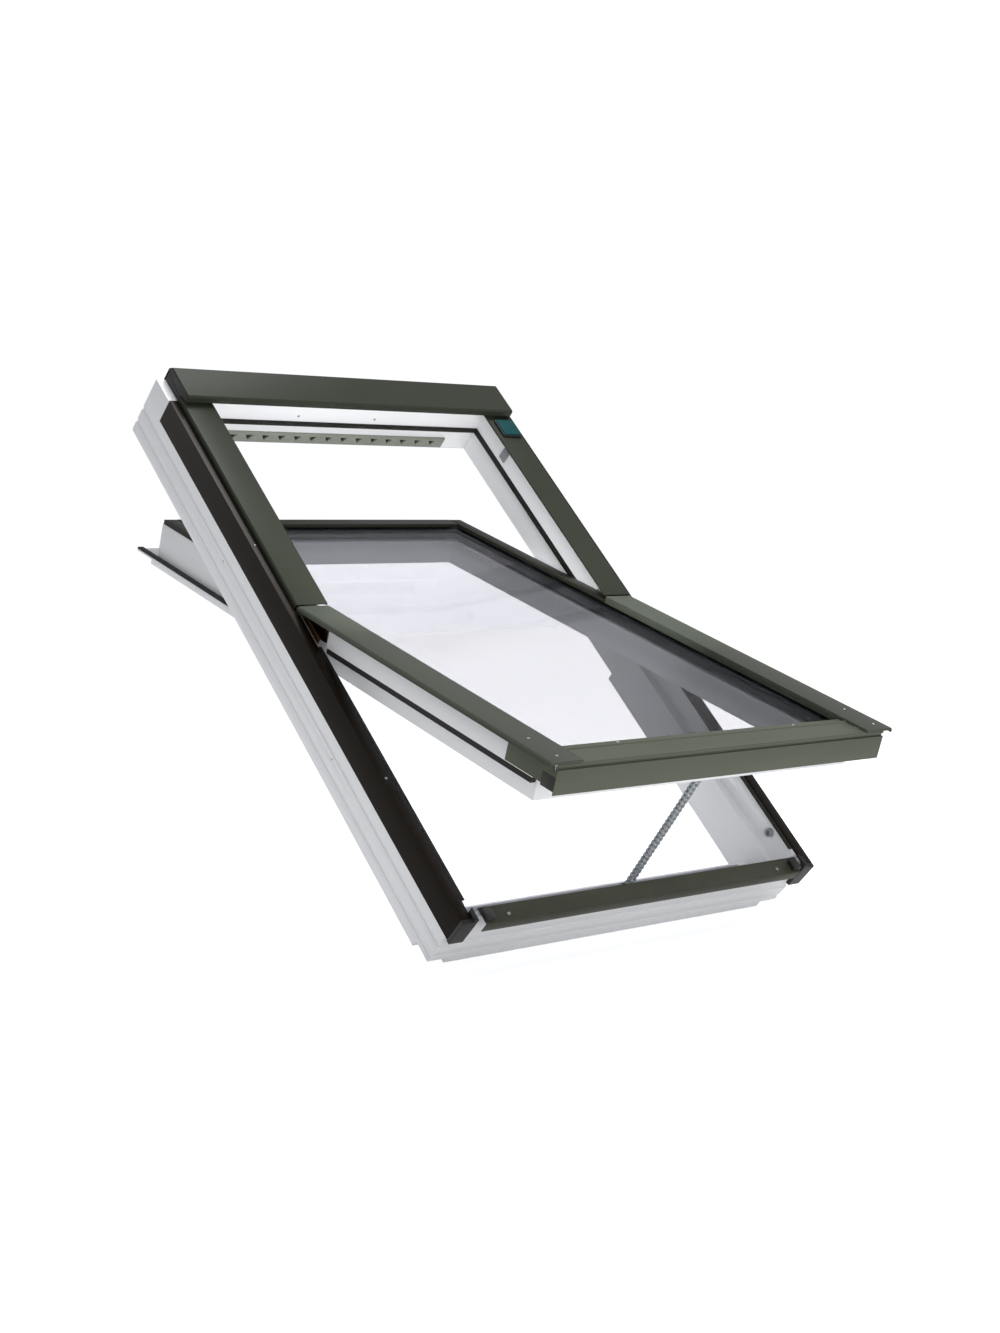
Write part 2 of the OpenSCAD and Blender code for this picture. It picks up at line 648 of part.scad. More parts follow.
module sash_screws() color("#9a9c99") in_sash() {
    for (s = [-1, 1]) side(s) {
        for (y = [nose_y + 18, nose_y + 82])
            translate([half_w - 40, y, cover_z]) screw_head(3, 1.6);
    }
    for (x = [-half_w * 0.5, half_w * 0.5])
        translate([x, glass_edge_y - 7, 4]) screw_head(3, 1.4);
}

// ---- Chain -------------------------------------------------------------------

link_count = floor((chain_len - 12) / chain_pitch);
chain_start = guide_l;
link_neck = 1.2;
function link_points(i) = let (z = chain_len - 4 - (i + 1) * (chain_len - 4 - chain_start) / link_count,
    l = (chain_len - 4 - chain_start) / link_count) [
    [chain_d / 2, z + l], [chain_d / 2, z + 0.3 * l], [chain_d / 2 - link_neck, z + 0.15 * l]
];
chain_edge = [for (i = [0 : link_count - 1]) for (p = link_points(i)) p];
module chain() color("#80878a") in_chain() {
    difference() {
        union() {
            across(-chain_w / 2, chain_w / 2)
                polygon(concat(chain_edge, [[chain_d / 2, chain_start], [-chain_d / 2, chain_start]],
                    reversed(mirrored(chain_edge))));
            rod(chain_d / 2, -chain_w / 2, chain_w / 2, 0, chain_len - 1);
        }
        rod(pin_r + 0.4, -chain_w, chain_w, 0, chain_len);
    }
}
// Guide that swivels in the outlet on two stubs and steers the chain
module chain_guide() color("#2b2c2c") in_chain() {
    rod(4.5, -guide_half, guide_half, 0, 0);
    block(-guide_half, guide_half, -4.5, 4.5, 0, guide_l);
    rod(stub_r, -guide_half - stub_l, guide_half + stub_l, 0, 0);
}

frame_head();
frame_sill();
frame_stile_left();
frame_stile_right();
hood_carrier();
hood();
hood_end_left();
hood_end_right();
upper_cover_left();
upper_cover_right();
side_cladding_left();
side_cladding_right();
sill_cladding();
corner_cap_left();
corner_cap_right();
rain_seals();
frame_gasket();
vent_grille();
vent_filter();
sensor_base();
rain_sensor();
stile_clip();
bolt_socket();
hinge_frame_left();
hinge_frame_right();
chain_drive();
drive_cover();
frame_screws();
sash_head();
sash_sill();
sash_stile_left();
sash_stile_right();
glass_outer();
glass_inner();
glass_spacer();
glazing_gasket();
upper_trim_head();
upper_trim_left();
upper_trim_right();
lower_cover_left();
lower_cover_right();
bottom_cover();
corner_return_left();
corner_return_right();
corner_plug_left();
corner_plug_right();
sash_gasket();
hinge_sash_left();
hinge_sash_right();
chain_bracket();
bracket_pin();
bolt_housing();
sash_screws();
chain();
chain_guide();
cleaning_bolt();
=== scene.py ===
# %% [markdown]
# # A centre-pivot roof window
# The CAD model holds every piece of this window at its real size: a white frame, a glazed sash that
# tilts about its middle, folded metal covers, rubber seals and an electric chain opener. This lesson
# gives those pieces their looks. We load the model first and never move or resize anything in it.

# %% Load the window
import json
import math

import bmesh
import bpy
from mathutils import Matrix, Vector

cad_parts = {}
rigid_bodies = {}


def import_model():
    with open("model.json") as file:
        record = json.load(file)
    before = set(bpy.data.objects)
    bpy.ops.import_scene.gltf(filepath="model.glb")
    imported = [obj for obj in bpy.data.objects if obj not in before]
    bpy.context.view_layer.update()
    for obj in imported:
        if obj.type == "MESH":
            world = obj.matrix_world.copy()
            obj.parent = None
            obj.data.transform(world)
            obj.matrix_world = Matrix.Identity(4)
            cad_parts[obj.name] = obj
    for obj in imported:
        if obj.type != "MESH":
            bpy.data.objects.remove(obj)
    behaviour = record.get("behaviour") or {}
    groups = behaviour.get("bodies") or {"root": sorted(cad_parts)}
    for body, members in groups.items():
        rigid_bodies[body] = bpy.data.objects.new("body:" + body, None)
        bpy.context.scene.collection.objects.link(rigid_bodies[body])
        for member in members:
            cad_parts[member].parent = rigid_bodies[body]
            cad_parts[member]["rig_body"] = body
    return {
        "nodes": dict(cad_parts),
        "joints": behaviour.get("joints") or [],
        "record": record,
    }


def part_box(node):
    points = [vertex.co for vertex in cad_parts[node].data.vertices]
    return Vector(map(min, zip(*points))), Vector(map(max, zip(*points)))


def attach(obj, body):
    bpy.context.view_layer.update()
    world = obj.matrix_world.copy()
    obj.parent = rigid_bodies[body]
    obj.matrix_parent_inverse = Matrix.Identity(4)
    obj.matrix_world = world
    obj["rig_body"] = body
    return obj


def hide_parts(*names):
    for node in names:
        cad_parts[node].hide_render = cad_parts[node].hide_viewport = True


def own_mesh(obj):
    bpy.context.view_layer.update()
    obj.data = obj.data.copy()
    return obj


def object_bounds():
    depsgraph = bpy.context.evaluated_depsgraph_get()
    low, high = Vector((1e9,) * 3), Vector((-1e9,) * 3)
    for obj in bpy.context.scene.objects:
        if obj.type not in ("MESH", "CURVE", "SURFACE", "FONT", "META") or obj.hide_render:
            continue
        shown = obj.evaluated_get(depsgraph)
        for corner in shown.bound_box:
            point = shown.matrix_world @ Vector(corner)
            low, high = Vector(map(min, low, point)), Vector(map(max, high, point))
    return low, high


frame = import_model()
cad_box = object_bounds()
nodes = frame["nodes"]
joints = {joint["name"]: joint for joint in frame["joints"]}
mounts = {mount["name"]: mount for mount in frame["record"]["mounts"]}
MM = 0.001
print("pieces in the window:", len(nodes))

# %% [markdown]
# The window was drawn flat, with X across it, Y up the slope and Z out of the roof, and then leaned back
# to the pitch of the roof. The sash was drawn shut and then swung open. Two matrices repeat those turns,
# so that places can be read and given in the simple drawn directions. Both come from the model: the pitch
# from the direction that the window faces, and the swing from its hinge.

# %% Turns from the drawn directions to the room's
facing = Vector(mounts["roof_opening"]["axis"])
pitch = math.atan2(-facing.y, facing.z)
on_roof = Matrix.Rotation(pitch, 4, "X")
pivot = on_roof.inverted() @ Vector(joints["sash_pivot"]["pos_m"])
swing = math.radians(joints["sash_pivot"]["range_deg"][0])
in_sash = on_roof @ Matrix.Translation(pivot) @ Matrix.Rotation(swing, 4, "X") @ Matrix.Translation(-pivot)
print("roof pitch", round(math.degrees(pitch)), "degrees, sash open", round(-math.degrees(swing)), "degrees")


def body_of(node):
    return nodes[node]["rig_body"]


def drawn_turn(node):
    """The turn that took this node from the drawing to its place."""
    return in_sash if body_of(node) in ("sash", "bolt") else on_roof


# %% [markdown]
# ## Camera
# The window is seen from outside, a little to the left of it and almost level with it, through a lens of
# about 55 mm, so that the near corner of the frame looks larger than the far one.

# %% Camera
camera_data = bpy.data.cameras.new("camera")
camera_data.lens = 54.8
camera_data.sensor_width = 36
camera_data.clip_start = 0.05
camera = bpy.data.objects.new("camera", camera_data)
camera.location = (-2.2697, -2.6976, 0.1641)
look = Vector((0.6495, 0.7570, -0.0711))
camera.rotation_euler = look.to_track_quat("-Z", "Y").to_euler()
bpy.context.scene.collection.objects.link(camera)
bpy.context.scene.camera = camera
print("camera", [round(c, 2) for c in camera.location])

# %% [markdown]
# ## Light and floor
# The window stands in a white studio: an even pale surround that every side sees, one large soft light
# above, three small ones that open up the shaded inner faces, and a pale floor that runs out of view. The
# surround is brighter where the camera looks straight at it, as a lit white wall behind the window would
# be. It is brighter again where the camera looks through the tinted glass, so that the wall stays white
# there while the white members behind the glass turn grey.


# %% One helper for every node
def add(tree, kind, inputs=None, **settings):
    """A new node in a tree: its settings, then a number or a link for each named or numbered input."""
    node = tree.nodes.new(kind)
    for name, value in settings.items():
        setattr(node, name, value)
    for name, value in (inputs or {}).items():
        socket = node.inputs[name]
        if isinstance(value, bpy.types.NodeSocket):
            tree.links.new(value, socket)
        else:
            socket.default_value = value
    return node


def colour(hex_code):
    """The linear colour of an sRGB hex code."""
    parts = [int(hex_code[i : i + 2], 16) / 255 for i in (1, 3, 5)]
    linear = [p / 12.92 if p <= 0.04045 else ((p + 0.055) / 1.055) ** 2.4 for p in parts]
    return (*linear, 1)


# %% Surround
SURROUND_LIGHT = 0.5
SURROUND_SEEN = 1.05
SURROUND_THROUGH_GLASS = 3.5


def straight_through_glass(tree):
    """1 for a ray that went from the camera through glass and met nothing else, and 0 for any other."""
    ray = add(tree, "ShaderNodeLightPath").outputs
    direct = add(tree, "ShaderNodeMath", {0: ray["Diffuse Depth"], 1: 0.5}, operation="LESS_THAN")
    both = add(
        tree,
        "ShaderNodeMath",
        {0: ray["Is Transmission Ray"], 1: direct.outputs[0]},
        operation="MULTIPLY",
    )
    return both.outputs[0]


world = bpy.data.worlds.new("white studio")
bpy.context.scene.world = world
world.use_nodes = True
sky = world.node_tree
sky.nodes.clear()
ray = add(sky, "ShaderNodeLightPath")
seen = add(sky, "ShaderNodeMix", {0: ray.outputs["Is Camera Ray"], 2: SURROUND_LIGHT, 3: SURROUND_SEEN})
through = add(
    sky,
    "ShaderNodeMix",
    {0: straight_through_glass(sky), 2: seen.outputs[0], 3: SURROUND_THROUGH_GLASS},
)
glow = add(sky, "ShaderNodeBackground", {"Color": colour("#fbfcff"), "Strength": through.outputs[0]})
add(sky, "ShaderNodeOutputWorld", {"Surface": glow.outputs[0]})
bpy.context.scene.view_settings.view_transform = "Standard"
print("surround lights at", SURROUND_LIGHT, "and is seen at", SURROUND_SEEN)


# %% Soft lights
def soft_light(name, place, target, size, watts, tint="#ffffff"):
    data = bpy.data.lights.new(name, "AREA")
    data.shape = "RECTANGLE"
    data.size, data.size_y = size
    data.energy = watts
    data.color = colour(tint)[:3]
    lamp = bpy.data.objects.new(name, data)
    lamp.location = place
    lamp.rotation_euler = (Vector(target) - Vector(place)).to_track_quat("-Z", "Y").to_euler()
    lamp.visible_camera = False
    bpy.context.scene.collection.objects.link(lamp)
    return lamp


soft_light("overhead light", (0.2, -0.3, 2.6), (0, 0, 0), (1.5, 1.1), 58)
room_light = soft_light("light from the room", (0.0, 0.15, -0.42), (0.05, 0.12, 0.2), (0.5, 0.4), 0.9)
gap_light = soft_light("light in the upper gap", (-0.05, -0.25, 0.16), (0.12, 0.42, 0.4), (0.5, 0.3), 4.4)
low_light = soft_light("low light in front", (0.0, -1.4, -0.3), (0.25, -0.2, -0.25), (0.5, 0.5), 2.4)
for lamp in (room_light, gap_light, low_light):
    lamp.visible_glossy = False
    lamp.visible_transmission = False

# %% Floor
FLOOR_GAP = 0.004
FLOOR_HALF = 7.0
FLOOR_GLOW = 0.12
FLOOR_GLOW_SEEN = 0.6
FLOOR_GLOW_THROUGH_GLASS = 3.0
floor_z = cad_box[0].z - FLOOR_GAP
floor_mesh = bpy.data.meshes.new("floor")
floor_corners = [(x * FLOOR_HALF, y * FLOOR_HALF) for x, y in ((-1, -1), (1, -1), (1, 1), (-1, 1))]
floor_mesh.from_pydata([(x, y, floor_z) for x, y in floor_corners], [], [(0, 1, 2, 3)])
floor = bpy.data.objects.new("floor", floor_mesh)
bpy.context.scene.collection.objects.link(floor)
floor_paint = bpy.data.materials.new("pale floor paint")
floor_paint.use_nodes = True
floor_shader = floor_paint.node_tree.nodes["Principled BSDF"]
floor_shader.inputs["Base Color"].default_value = colour("#f4f4f4")
floor_shader.inputs["Roughness"].default_value = 0.9
floor_shader.inputs["Specular IOR Level"].default_value = 0.1
floor_tree = floor_paint.node_tree
floor_ray = add(floor_tree, "ShaderNodeLightPath")
plainly = add(
    floor_tree,
    "ShaderNodeMix",
    {0: floor_ray.outputs["Is Camera Ray"], 2: FLOOR_GLOW, 3: FLOOR_GLOW_SEEN},
)
by_glass = add(
    floor_tree,
    "ShaderNodeMix",
    {0: straight_through_glass(floor_tree), 2: plainly.outputs[0], 3: FLOOR_GLOW_THROUGH_GLASS},
)
floor_shader.inputs["Emission Color"].default_value = (1, 1, 1, 1)
floor_tree.links.new(by_glass.outputs[0], floor_shader.inputs["Emission Strength"])
floor_mesh.materials.append(floor_paint)
print("floor at", round(floor_z, 3))

# %% [markdown]
# ## Finishes
# Each finish starts from what the real surface is. They share one pattern: a slow drift between two close
# tones, because no coat is perfectly even, a fine relief that breaks up the highlights, and a roughness
# that drifts a little with it. The scales are real sizes in millimetres.


# %% A coat with drifting tone and fine relief
def coat(name, tones, roughness, drift_mm, grit_mm, relief_mm, turn=None, stretch=(1, 1, 1), **constants):
    """A material whose tone drifts over drift_mm, with bumps grit_mm apart and relief_mm high."""
    material = bpy.data.materials.new(name)
    material.use_nodes = True
    tree = material.node_tree
    shader = tree.nodes["Principled BSDF"]
    place = add(tree, "ShaderNodeTexCoord").outputs["Object"]
    if turn is not None:
        turned = add(tree, "ShaderNodeMapping", {"Vector": place, "Rotation": turn}, vector_type="TEXTURE")
        shaped = add(tree, "ShaderNodeMapping", {"Vector": turned.outputs[0], "Scale": stretch})
        place = shaped.outputs[0]
    drift = add(tree, "ShaderNodeTexNoise", {"Vector": place, "Scale": 1 / (drift_mm * MM), "Detail": 3.0})
    grit = add(tree, "ShaderNodeTexNoise", {"Vector": place, "Scale": 1 / (grit_mm * MM), "Detail": 2.0})
    tone = add(
        tree,
        "ShaderNodeMix",
        {0: drift.outputs["Fac"], 6: colour(tones[0]), 7: colour(tones[1])},
        data_type="RGBA",
    )
    spread = add(
        tree,
        "ShaderNodeMapRange",
        {"Value": drift.outputs["Fac"], "To Min": roughness[0], "To Max": roughness[1]},
    )
    bump = add(
        tree,
        "ShaderNodeBump",
        {"Height": grit.outputs["Fac"], "Distance": relief_mm * MM, "Strength": 1.0},
    )
    tree.links.new(tone.outputs[2], shader.inputs["Base Color"])
    tree.links.new(spread.outputs[0], shader.inputs["Roughness"])
    tree.links.new(bump.outputs[0], shader.inputs["Normal"])
    for socket, value in constants.items():
        shader.inputs[socket.replace("_", " ")].default_value = value
    return material


# %% [markdown]
# ### White coated pine
# The frame and sash are laminated pine under a thick white polyurethane coat. The coat is smooth and
# slightly glossy, and the grain still shows as a very faint relief that runs along each member. That is
# why there are four of them: along and across the slope, for the frame and again for the tilted sash.


# %% White coated pine
GRAIN_STRETCH = 0.03


def coated_pine(name, tilt, along):
    stretch = (1, GRAIN_STRETCH, 1) if along == "slope" else (GRAIN_STRETCH, 1, 1)
    return coat(
        name,
        ("#e9eaec", "#f1f2f3"),
        (0.26, 0.4),
        drift_mm=60,
        grit_mm=3.2,
        relief_mm=0.05,
        turn=(tilt, 0, 0),
        stretch=stretch,
        Specular_IOR_Level=0.5,
    )


pine = {
    ("frame", "slope"): coated_pine("white coated pine, frame stile", pitch, "slope"),
    ("frame", "across"): coated_pine("white coated pine, frame head", pitch, "across"),
    ("sash", "slope"): coated_pine("white coated pine, sash stile", pitch + swing, "slope"),
    ("sash", "across"): coated_pine("white coated pine, sash head", pitch + swing, "across"),
}
print("white finishes:", len(pine))

# %% [markdown]
# ### Powder-coated sheet
# The covers are folded aluminium sheet with a baked powder coat. Powder melts into a skin like fine orange
# peel, so its shine is broad and a little broken. The peel is really about a millimetre across, and is
# drawn at twice that so that it still shows from here. The specular level is set far below the usual 0.5,
# only to keep these dark covers dark in so bright a studio.

# %% Powder-coated sheets
PEEL_MM = 2.2
LOW_SHINE = 0.12


def powder_coat(name, tones, roughness=(0.34, 0.44), relief_mm=0.03):
    return coat(name, tones, roughness, 140, PEEL_MM, relief_mm, Specular_IOR_Level=LOW_SHINE)


cladding_grey = powder_coat("powder coat, grey green", ("#292c24", "#2e3128"))
sash_grey = powder_coat("powder coat, light grey green", ("#454940", "#4c5147"))
front_grey = powder_coat("powder coat, warm grey green", ("#54584b", "#5c6053"))
sill_grey = powder_coat("powder coat, olive grey", ("#3e3f34", "#45463a"))
# The real side cladding is grey green like its flange. The dark brown tone here is a painted reflection and
# painted shade on its outer side faces.
side_painted_reflection = powder_coat("powder coat, grey green with painted brown reflection", ("#120d07", "#1b140b"), (0.3, 0.36), 0.006)
trim_grey = powder_coat("powder coat, dark grey", ("#26261f", "#2c2c24"))

# %% [markdown]
# ### Plastics, rubber and metal
# Corner pieces and plugs are black moulded plastic, matt with a spark-eroded grain. Seals are extruded
# rubber, nearly without shine. The hinges are steel with a dark bronze passivation, and the chain, its
# bracket and the screws are zinc plated, which is bright but dull and blotchy close up.

# %% Plastics, rubber and metal
black_plastic = coat("black moulded plastic", ("#161613", "#1f1e1a"), (0.4, 0.55), 30, 1.2, 0.04)
seal_rubber = coat("black extruded rubber", ("#0f100c", "#171712"), (0.55, 0.7), 25, 1.0, 0.03)
vent_plastic = coat("grey green moulded plastic", ("#7c8076", "#888c81"), (0.45, 0.55), 60, 1.2, 0.03)
grey_plastic = coat("grey moulded plastic", ("#83868a", "#8f9296"), (0.4, 0.5), 40, 1.2, 0.03)
drive_casing = coat("dark grey drive casing", ("#3c3d40", "#46474a"), (0.45, 0.55), 60, 1.2, 0.03)
drive_strip = coat("lavender grey moulded strip", ("#8b8c93", "#96979e"), (0.35, 0.45), 60, 1.2, 0.02)
filter_foam = coat("dark filter foam", ("#141412", "#2b2b28"), (0.9, 1.0), 2.5, 1.5, 0.5)
spacer_black = coat("black spacer bar", ("#15181a", "#202426"), (0.35, 0.5), 40, 1.0, 0.02)
bronze_steel = coat(
    "bronze passivated steel", ("#3a2a1c", "#6b4c30"), (0.28, 0.45), 14, 1.4, 0.02, Metallic=1.0
)
zinc_plate = coat("zinc plated steel", ("#8d9294", "#b4b8ba"), (0.3, 0.5), 7, 1.2, 0.02, Metallic=1.0)
chain_steel = coat("dull zinc plated chain", ("#a3a9ac", "#babfc2"), (0.45, 0.6), 6, 1.2, 0.02, Metallic=0.1)
screw_steel = coat("stainless screw head", ("#b9bcb8", "#d2d4d0"), (0.25, 0.4), 4, 0.8, 0.01, Metallic=1.0)
sensor_foil = coat(
    "teal sensor foil", ("#0c383b", "#114346"), (0.5, 0.6), 9, 1.0, 0.005, Specular_IOR_Level=LOW_SHINE
)

# %% [markdown]
# ### Glass
# Two panes of float glass. These are not the values of real glass, which has an index of 1.5 and lets most
# of the light through. The index is close to 1, so that the panes mirror nothing, and the tint is dark, so
# that white members look grey behind it. The surround and the floor are made brighter behind the glass to
# make up for that tint. For another room, an index of 1.5 and a nearly white tint suit better. A ray that
# comes from a lamp is let straight through, because light that bends through two panes arrives as noise.


# %% Clear glass
def clear_glass(name, tint, lamp_tint):
    material = bpy.data.materials.new(name)
    material.use_nodes = True
    tree = material.node_tree
    shader = tree.nodes["Principled BSDF"]
    shader.inputs["Base Color"].default_value = colour(tint)
    shader.inputs["Transmission Weight"].default_value = 1.0
    shader.inputs["Roughness"].default_value = 0.0
    shader.inputs["IOR"].default_value = 1.035
    lamp_ray = add(tree, "ShaderNodeLightPath").outputs["Is Shadow Ray"]
    open_way = add(tree, "ShaderNodeBsdfTransparent", {"Color": colour(lamp_tint)})
    both = add(tree, "ShaderNodeMixShader", {0: lamp_ray, 1: shader.outputs[0], 2: open_way.outputs[0]})
    tree.links.new(both.outputs[0], tree.nodes["Material Output"].inputs["Surface"])
    return material


coated_glass = clear_glass("coated float glass", "#bbbbbd", "#e6e6e8")

# %% [markdown]
# ## Crisp edges from the CAD pieces
# A CAD edge is perfectly sharp, and a real one never is: sheet is folded round a radius and timber is
# sanded. A bright line along each edge is most of what makes such a piece look real. So each piece is
# copied, its loose triangles are joined and flattened into faces, and every sharp edge is rounded.


# %% Rounded copies of CAD pieces
def rounded(node, radius_mm, material, segments=2):
    """A copy of a CAD node with its sharp edges rounded, which then stands for the node."""
    mesh = nodes[node].data.copy()
    mesh.materials.clear()
    shape = bmesh.new()
    shape.from_mesh(mesh)
    bmesh.ops.remove_doubles(shape, verts=shape.verts, dist=0.01 * MM)
    bmesh.ops.dissolve_limit(shape, angle_limit=math.radians(0.5), verts=shape.verts, edges=shape.edges)
    shape.to_mesh(mesh)
    shape.free()
    piece = bpy.data.objects.new(node + "_finished", mesh)
    bpy.context.scene.collection.objects.link(piece)
    edge = piece.modifiers.new("edges", "BEVEL")
    edge.width = radius_mm * MM
    edge.segments = segments
    edge.limit_method = "ANGLE"
    edge.angle_limit = math.radians(28)
    edge.harden_normals = True
    edge.use_clamp_overlap = True
    return finished(piece, body_of(node), material, slot_of[node], node)


def finished(piece, body, material, slot, *replaced):
    """Turns a piece with modifiers into a plain smooth mesh, gives it its finish, and says what it moves
    with.
    """
    for polygon in piece.data.polygons:
        polygon.use_smooth = True
    if piece.modifiers:
        depsgraph = bpy.context.evaluated_depsgraph_get()
        plain = bpy.data.meshes.new_from_object(piece.evaluated_get(depsgraph), depsgraph=depsgraph)
        piece.modifiers.clear()
        piece.data = plain
    piece.data.name = piece.name
    if material is not None:
        piece.data.materials.clear()
        piece.data.materials.append(material)
    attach(piece, body)
    if replaced:
        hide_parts(*replaced)
    return piece


slot_of = {part["node"]: part["material_slot"] for part in frame["record"]["subparts"]}

# %% [markdown]
# The members of the frame and the sash get the largest radius, about what a sanded arris has. They meet in
# mitres, and the rounding leaves the fine line that a painted mitre shows.

# %% Frame and sash members
ARRIS_MM = 0.8
for body in ("frame", "sash"):
    for member in ("head", "sill"):
        rounded(f"{body}_{member}", ARRIS_MM, pine[body, "across"])
    for member in ("stile_left", "stile_right"):
        rounded(f"{body}_{member}", ARRIS_MM, pine[body, "slope"])
print("white members rounded")

# %% Folded covers
FOLD_MM = 0.55
for node in ("hood", "upper_cover_left", "upper_cover_right"):
    rounded(node, FOLD_MM, cladding_grey)
for node in ("lower_cover_left", "lower_cover_right"):
    rounded(node, FOLD_MM, sash_grey)
for node in ("bottom_cover", "corner_return_left", "corner_return_right"):
    rounded(node, FOLD_MM, front_grey)
# The dark brown of the side cladding is a painted reflection and painted shade, not its own paint.
for node in ("side_cladding_left", "side_cladding_right"):
    rounded(node, FOLD_MM, side_painted_reflection)
rounded("sill_cladding", FOLD_MM, sill_grey)
for node in ("upper_trim_head", "upper_trim_left", "upper_trim_right"):
    rounded(node, FOLD_MM, trim_grey)
print("covers folded")

# %% Small moulded and metal pieces
for node in (
    "hood_end_left", "hood_end_right", "corner_cap_left", "corner_cap_right",
    "corner_plug_left", "corner_plug_right", "chain_guide", "hood_carrier",
):
    rounded(node, 0.8, black_plastic)
rounded("sensor_base", 0.8, black_plastic)
rounded("rain_sensor", 0.6, sensor_foil)
rounded("vent_grille", 0.5, vent_plastic)
rounded("vent_filter", 0.3, filter_foam)
rounded("stile_clip", 0.8, grey_plastic)
rounded("bolt_socket", 0.6, grey_plastic)
rounded("bolt_housing", 0.8, grey_plastic)
rounded("cleaning_bolt", 0.5, zinc_plate)
rounded("chain_drive", 0.8, drive_casing)
rounded("drive_cover", 0.6, drive_strip)
rounded("chain_bracket", 0.5, zinc_plate)
rounded("bracket_pin", 0.4, zinc_plate)
for node in ("hinge_frame_left", "hinge_frame_right", "hinge_sash_left", "hinge_sash_right"):
    rounded(node, 0.4, bronze_steel)
for node in ("rain_seals", "frame_gasket", "glazing_gasket", "sash_gasket"):
    rounded(node, 0.6, seal_rubber)
rounded("glass_spacer", 0.2, spacer_black, 1)
for node in ("glass_outer", "glass_inner"):
    nodes[node].data.materials.clear()
    nodes[node].data.materials.append(coated_glass)
print("small pieces finished")

# %% [markdown]
# ## Things that repeat
# Screws and chain links are one small shape many times over, which is what Geometry Nodes are good at. A
# tree is built once, its sizes are named inputs, and each use sets them. The result is turned into a plain
# mesh, because an exported model keeps no instances.


# %% Trees with named inputs
def new_tree(name, inputs):
    """An empty geometry tree with a geometry way in and out, and the named inputs."""
    tree = bpy.data.node_groups.new(name, "GeometryNodeTree")
    tree.interface.new_socket("Geometry", in_out="OUTPUT", socket_type="NodeSocketGeometry")
    tree.interface.new_socket("Geometry", in_out="INPUT", socket_type="NodeSocketGeometry")
    for label, kind in inputs.items():
        tree.interface.new_socket(label, in_out="INPUT", socket_type="NodeSocket" + kind)
    return tree, add(tree, "NodeGroupInput").outputs


def end_tree(tree, geometry, material):
    """Instances become real, the finish is set, and the result goes out."""
    real = add(tree, "GeometryNodeRealizeInstances", {"Geometry": geometry})
    dressed = add(tree, "GeometryNodeSetMaterial", {"Geometry": real.outputs[0], "Material": material})
    add(tree, "NodeGroupOutput", {"Geometry": dressed.outputs[0]})


def grow(tree, name, points, values, turn, edges=()):
    """Runs a tree on a few points given in drawn directions, and returns the plain mesh in its place."""
    seed_mesh = bpy.data.meshes.new(name)
    seed_mesh.from_pydata([tuple(p) for p in points], list(edges), [])
    seed = bpy.data.objects.new(name + "_seed", seed_mesh)
    bpy.context.scene.collection.objects.link(seed)
    modifier = seed.modifiers.new("tree", "NODES")
    modifier.node_group = tree
    for socket in tree.interface.items_tree:
        if socket.in_out == "INPUT" and socket.name in values:
            modifier[socket.identifier] = values[socket.name]
    depsgraph = bpy.context.evaluated_depsgraph_get()
    plain = bpy.data.meshes.new_from_object(seed.evaluated_get(depsgraph), depsgraph=depsgraph)
    bpy.data.objects.remove(seed)
    plain.transform(turn)
    piece = bpy.data.objects.new(name, plain)
    bpy.context.scene.collection.objects.link(piece)
    print(name, "from", len(points), "points:", len(plain.polygons), "faces")
    return piece


# %% [markdown]
# ### Screws
# Every screw is a low domed head with a cross recess. The CAD has a plain disc for each, so the discs say
# where the screws sit, how large they are and which way they face: a disc is thinnest along its own axis.


# %% Screw tree
screw_tree, screw_in = new_tree(
    "screw heads", {"Radius": "Float", "Height": "Float", "Facing": "Vector", "Finish": "Material"}
)
head_top = add(screw_tree, "ShaderNodeMath", {0: screw_in["Radius"], 1: 0.72}, operation="MULTIPLY")
head = add(
    screw_tree,
    "GeometryNodeMeshCone",
    {
        "Vertices": 24,
        "Radius Top": head_top.outputs[0],
        "Radius Bottom": screw_in["Radius"],
        "Depth": screw_in["Height"],
    },
)
slot_length = add(screw_tree, "ShaderNodeMath", {0: screw_in["Radius"], 1: 1.1}, operation="MULTIPLY")
slot_width = add(screw_tree, "ShaderNodeMath", {0: screw_in["Radius"], 1: 0.26}, operation="MULTIPLY")
long_way = add(
    screw_tree,
    "ShaderNodeCombineXYZ",
    {0: slot_length.outputs[0], 1: slot_width.outputs[0], 2: screw_in["Height"]},
)
cross_way = add(
    screw_tree,
    "ShaderNodeCombineXYZ",
    {0: slot_width.outputs[0], 1: slot_length.outputs[0], 2: screw_in["Height"]},
)
bars = [add(screw_tree, "GeometryNodeMeshCube", {"Size": way.outputs[0]}) for way in (long_way, cross_way)]
cross = add(screw_tree, "GeometryNodeMeshBoolean", operation="UNION")
for bar in bars:
    screw_tree.links.new(bar.outputs[0], cross.inputs[1])
sink = add(screw_tree, "ShaderNodeCombineXYZ", {2: screw_in["Height"]})
raised = add(
    screw_tree,
    "GeometryNodeTransform",
    {"Geometry": cross.outputs[0], "Translation": sink.outputs[0]},
)
recessed = add(
    screw_tree,
    "GeometryNodeMeshBoolean",
    {0: head.outputs[0], 1: raised.outputs[0]},
    operation="DIFFERENCE",
)
aim = add(screw_tree, "FunctionNodeAlignRotationToVector", {"Vector": screw_in["Facing"]}, axis="Z")
set_out = add(
    screw_tree,
    "GeometryNodeInstanceOnPoints",
    {"Points": screw_in["Geometry"], "Instance": recessed.outputs[0], "Rotation": aim.outputs[0]},
)
end_tree(screw_tree, set_out.outputs[0], screw_in["Finish"])


